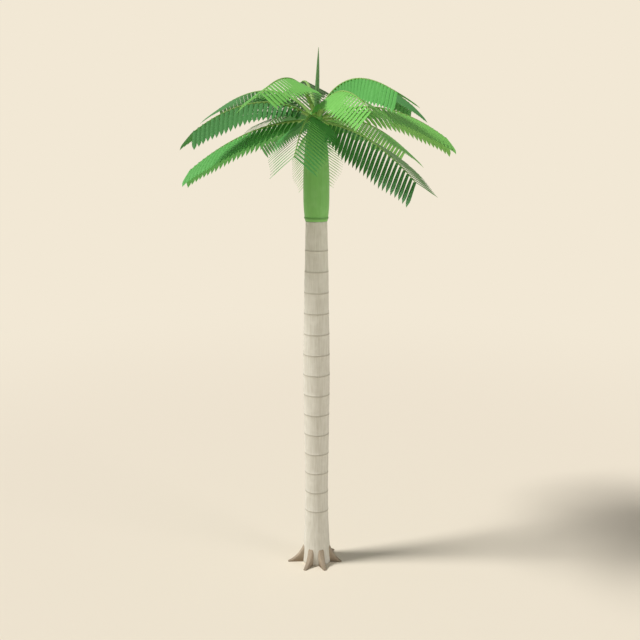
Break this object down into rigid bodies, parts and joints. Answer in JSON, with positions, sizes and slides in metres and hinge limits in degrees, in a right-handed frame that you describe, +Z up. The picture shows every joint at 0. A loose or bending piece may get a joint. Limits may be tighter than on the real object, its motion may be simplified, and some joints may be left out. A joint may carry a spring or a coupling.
{
  "type": "royal palm tree",
  "caption": "Tall royal palm: pale ringed trunk swelling halfway up, root flares at its foot, smooth green crownshaft and a crown of arching feathered fronds round a spear leaf.",
  "frame": {"origin": "middle of the flat cut under the trunk, at ground level on the trunk's axis", "axes": "+Z up along the trunk; -Y faces the picture's viewer and +X is to the viewer's right"},
  "size_m": [5.812, 5.922, 11.93],
  "materials": {
    "bark": "weathered",
    "root_bark": "rough",
    "leaf_sheath": "satin",
    "young_leaf": "satin",
    "leaf": "satin"
  },
  "bodies": {
    "root": {"trunk": "bark", "root_flare_1": "root_bark", "root_flare_2": "root_bark", "root_flare_3": "root_bark", "root_flare_4": "root_bark", "root_flare_5": "root_bark", "root_flare_6": "root_bark", "crownshaft": "leaf_sheath", "spear_leaf": "young_leaf", "frond_01": "leaf", "frond_02": "leaf", "frond_03": "leaf", "frond_04": "leaf", "frond_05": "leaf", "frond_06": "leaf", "frond_07": "leaf", "frond_08": "leaf", "frond_09": "leaf", "frond_10": "leaf", "frond_11": "leaf", "frond_12": "leaf", "frond_13": "leaf", "frond_14": "leaf", "frond_15": "leaf"}
  },
  "joints": []
}
